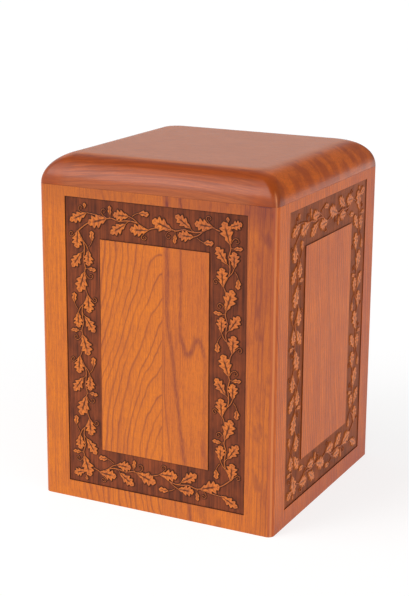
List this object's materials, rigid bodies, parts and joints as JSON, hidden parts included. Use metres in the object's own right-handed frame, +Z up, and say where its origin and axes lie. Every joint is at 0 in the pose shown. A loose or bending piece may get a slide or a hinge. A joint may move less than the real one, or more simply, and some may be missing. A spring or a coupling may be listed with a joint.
{
  "type": "cremation urn box",
  "caption": "Wooden cremation urn box with a rounded solid top, engraved oak-vine borders on all four sides and a screwed bottom panel.",
  "frame": {"origin": "middle of the underside, on the surface that the box stands on", "axes": "+Z up, front face towards -Y, +X to the right seen from the front"},
  "size_m": [0.165, 0.165, 0.227],
  "materials": {
    "cherry_boards": "satin lacquer",
    "cherry_top": "satin lacquer",
    "cherry_panel": "thin satin lacquer",
    "engraved_ground": "scorched and lacquered",
    "screw_brass": "plain, slightly dulled"
  },
  "bodies": {
    "root": {"top_board": "cherry_top", "front_board": "cherry_boards", "right_board": "cherry_boards", "back_board": "cherry_boards", "left_board": "cherry_boards", "bottom_panel": "cherry_panel", "screw_front_left": "screw_brass", "screw_front_right": "screw_brass", "screw_back_left": "screw_brass", "screw_back_right": "screw_brass"}
  },
  "joints": []
}
